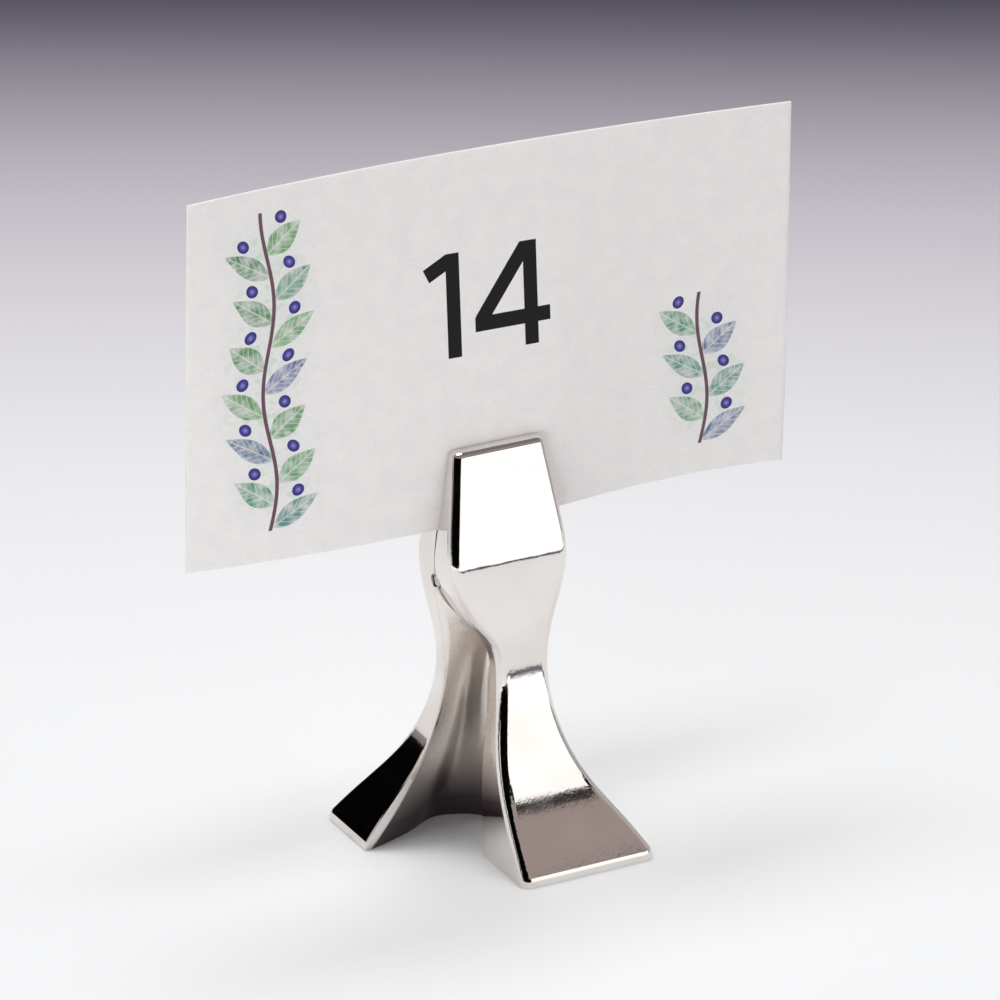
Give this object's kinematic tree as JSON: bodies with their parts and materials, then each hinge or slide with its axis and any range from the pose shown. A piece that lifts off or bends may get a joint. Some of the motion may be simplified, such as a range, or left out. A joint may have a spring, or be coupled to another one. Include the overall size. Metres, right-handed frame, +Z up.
{
  "type": "place card holder",
  "caption": "Polished metal spring clip on two flared feet, with sprung jaws on a hinge pin that hold an upright printed place card.",
  "frame": {"origin": "on the table, under the middle of the hinge pin and midway between the two feet", "axes": "+X along the hinge pin, to the right seen from the printed face of the card; +Y from the front jaw through the card to the back jaw; +Z up"},
  "size_m": [0.0897, 0.0316, 0.0985],
  "materials": {
    "polished_chrome": "mirror polished plate",
    "pin_steel": "bright drawn steel",
    "spring_steel": "drawn spring wire",
    "card_stock": "matt printed paper card"
  },
  "bodies": {
    "back_clip": {"back_half": "polished_chrome", "hinge_pin": "pin_steel", "torsion_spring": "spring_steel"},
    "front_clip": {"front_half": "polished_chrome"},
    "card": {"place_card": "card_stock"}
  },
  "joints": [
    {"name": "jaw_hinge", "type": "hinge", "parent": "back_clip", "child": "front_clip", "pos_m": [0, 0, 0.0398], "axis": [1, 0, 0], "range_deg": [0, 12], "stiffness_Nm_per_rad": 0.12, "springref_deg": -45.84, "deforming": ["torsion_spring"]},
    {"name": "card_lift", "type": "slide", "parent": "back_clip", "child": "card", "axis": [0, 0, 1], "range_m": [0, 0.014]}
  ]
}
